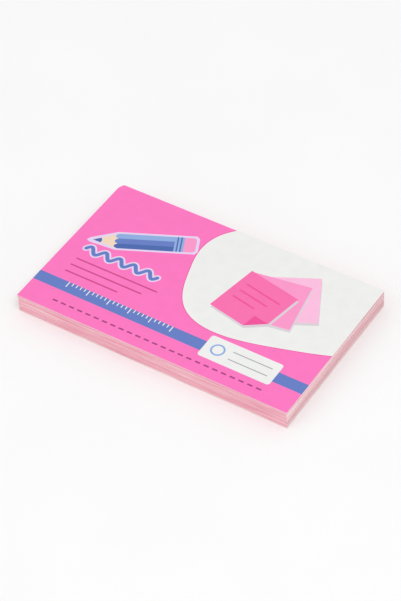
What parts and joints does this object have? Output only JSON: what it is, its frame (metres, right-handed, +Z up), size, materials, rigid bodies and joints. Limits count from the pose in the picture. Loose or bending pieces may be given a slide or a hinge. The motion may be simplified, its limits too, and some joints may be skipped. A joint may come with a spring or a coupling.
{
  "type": "sticky note pad",
  "caption": "Rectangular pad of pink paper notes, each held by a removable adhesive strip along its rear long edge, between a printed cover sheet and a liner sheet.",
  "frame": {"origin": "centre of the underside, the liner sheet's lower face", "axes": "+X along the long edge, +Y towards the rear long edge with the adhesive strips, +Z up through the notes to the cover"},
  "size_m": [0.127, 0.076, 0.0089],
  "materials": {
    "cover_paper": "coated paper printed in pink, blue and off-white, satin",
    "note_paper": "uncoated dyed paper, bright pink, matt, guillotined edges",
    "liner_paper": "siliconised white paper, satin",
    "adhesive": "dried removable microsphere adhesive, clear to milky, matt"
  },
  "bodies": {
    "root": {"cover_sheet": "cover_paper", "cover_adhesive": "adhesive", "note_block": "note_paper", "liner_adhesive": "adhesive", "liner_sheet": "liner_paper"}
  },
  "joints": []
}
